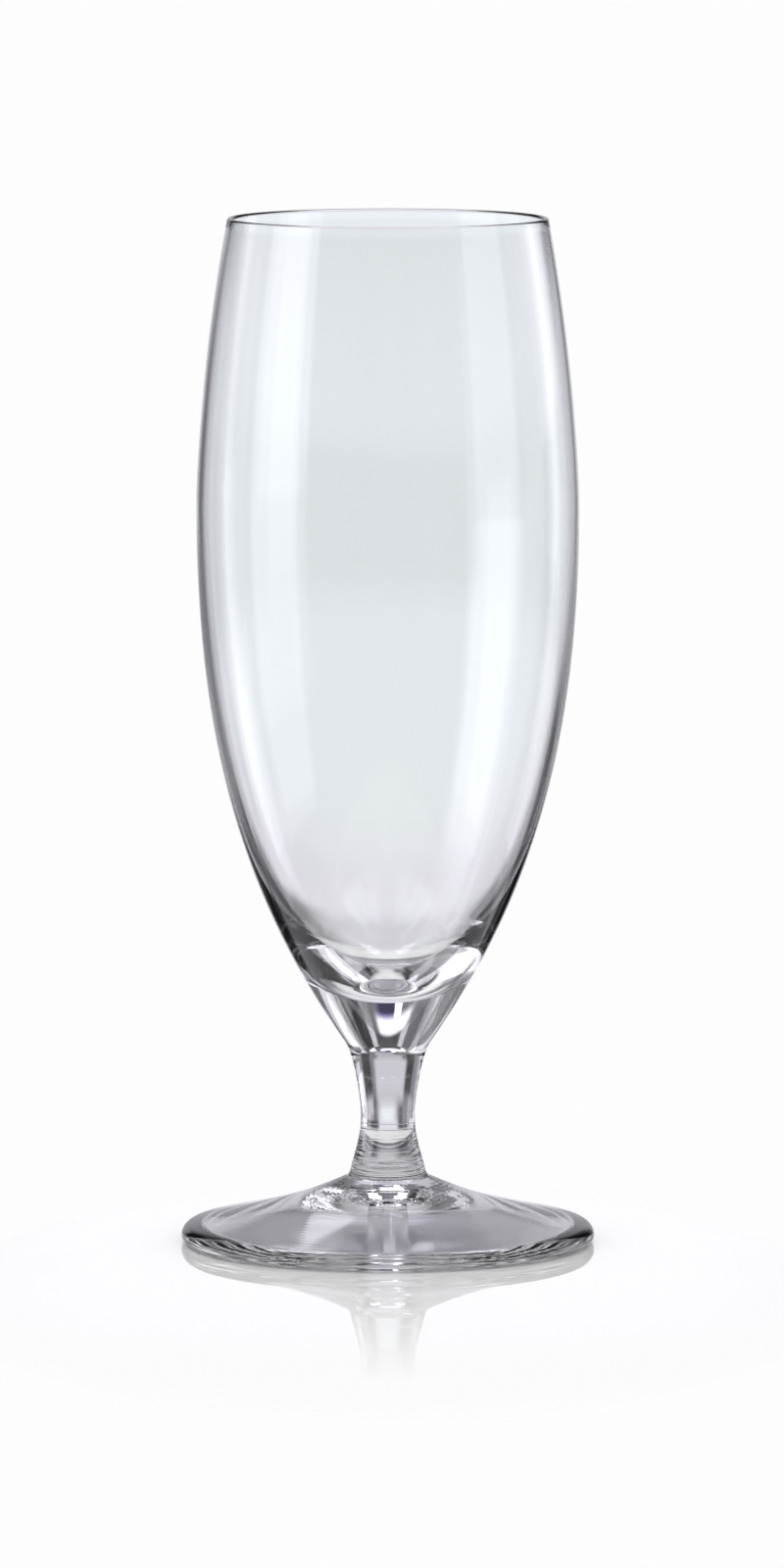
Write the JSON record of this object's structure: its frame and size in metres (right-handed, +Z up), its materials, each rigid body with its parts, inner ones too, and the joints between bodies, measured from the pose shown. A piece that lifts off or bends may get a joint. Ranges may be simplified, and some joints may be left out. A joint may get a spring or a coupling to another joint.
{
  "type": "pilsner glass",
  "caption": "Tall stemmed pilsner glass: thin blown bowl that swells to a belly and tapers to a thick solid bottom, short waisted stem and round foot.",
  "frame": {"origin": "centre of the flat ring under the foot that the glass rests on", "axes": "+Z up along the glass's axis, from the foot to the rim; the glass is the same all round it, so X and Y are free"},
  "size_m": [0.0766, 0.0766, 0.19],
  "materials": {
    "bowl_glass": "clear fire-polished glass",
    "stem_glass": "clear glass, solid, a faint grey",
    "foot_glass": "clear pressed glass with fine rings"
  },
  "bodies": {
    "root": {"bowl": "bowl_glass", "stem": "stem_glass", "foot": "foot_glass"}
  },
  "joints": []
}
